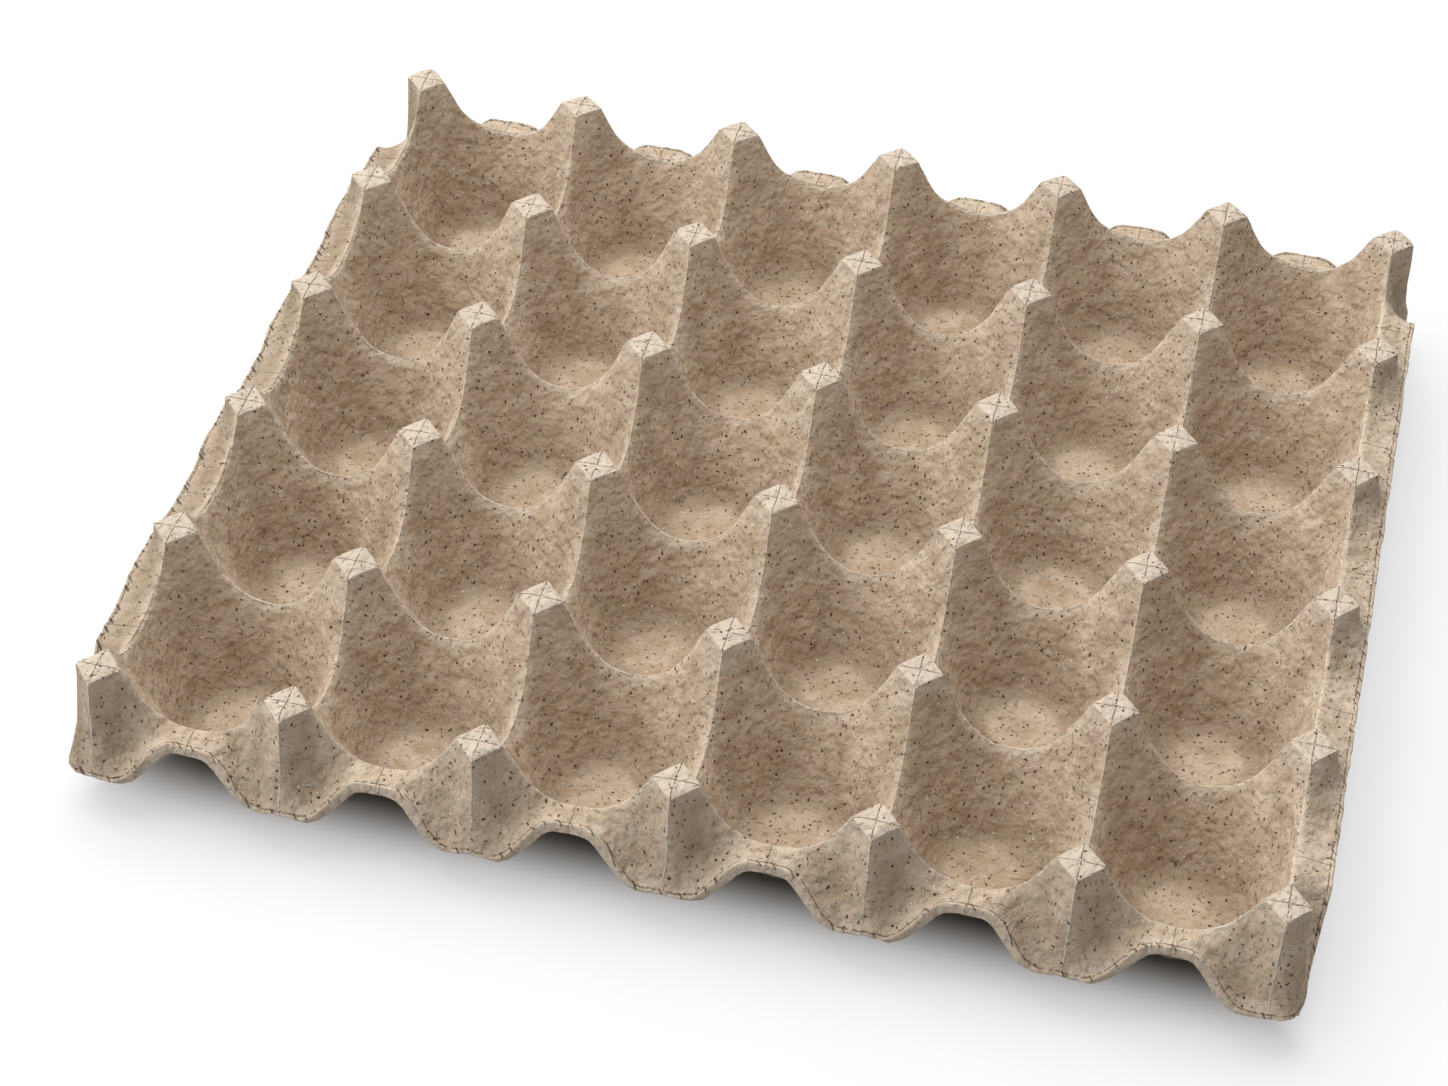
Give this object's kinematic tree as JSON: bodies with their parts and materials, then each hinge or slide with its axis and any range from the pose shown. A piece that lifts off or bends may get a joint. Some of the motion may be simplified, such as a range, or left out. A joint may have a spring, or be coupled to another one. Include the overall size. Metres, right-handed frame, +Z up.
{
  "type": "pulp egg tray",
  "caption": "Open tray moulded from paper pulp, with rows of round cups between diamond-topped posts and a wavy cut rim.",
  "frame": {"origin": "under the middle of the tray, on the surface that it stands on", "axes": "+X along the rows of six cups, +Y along the rows of five cups, +Z up"},
  "size_m": [0.301, 0.278, 0.04],
  "materials": {
    "moulded_pulp": "raw, matte, grey-brown recycled paper fibre"
  },
  "bodies": {
    "root": {"egg_tray": "moulded_pulp"}
  },
  "joints": []
}
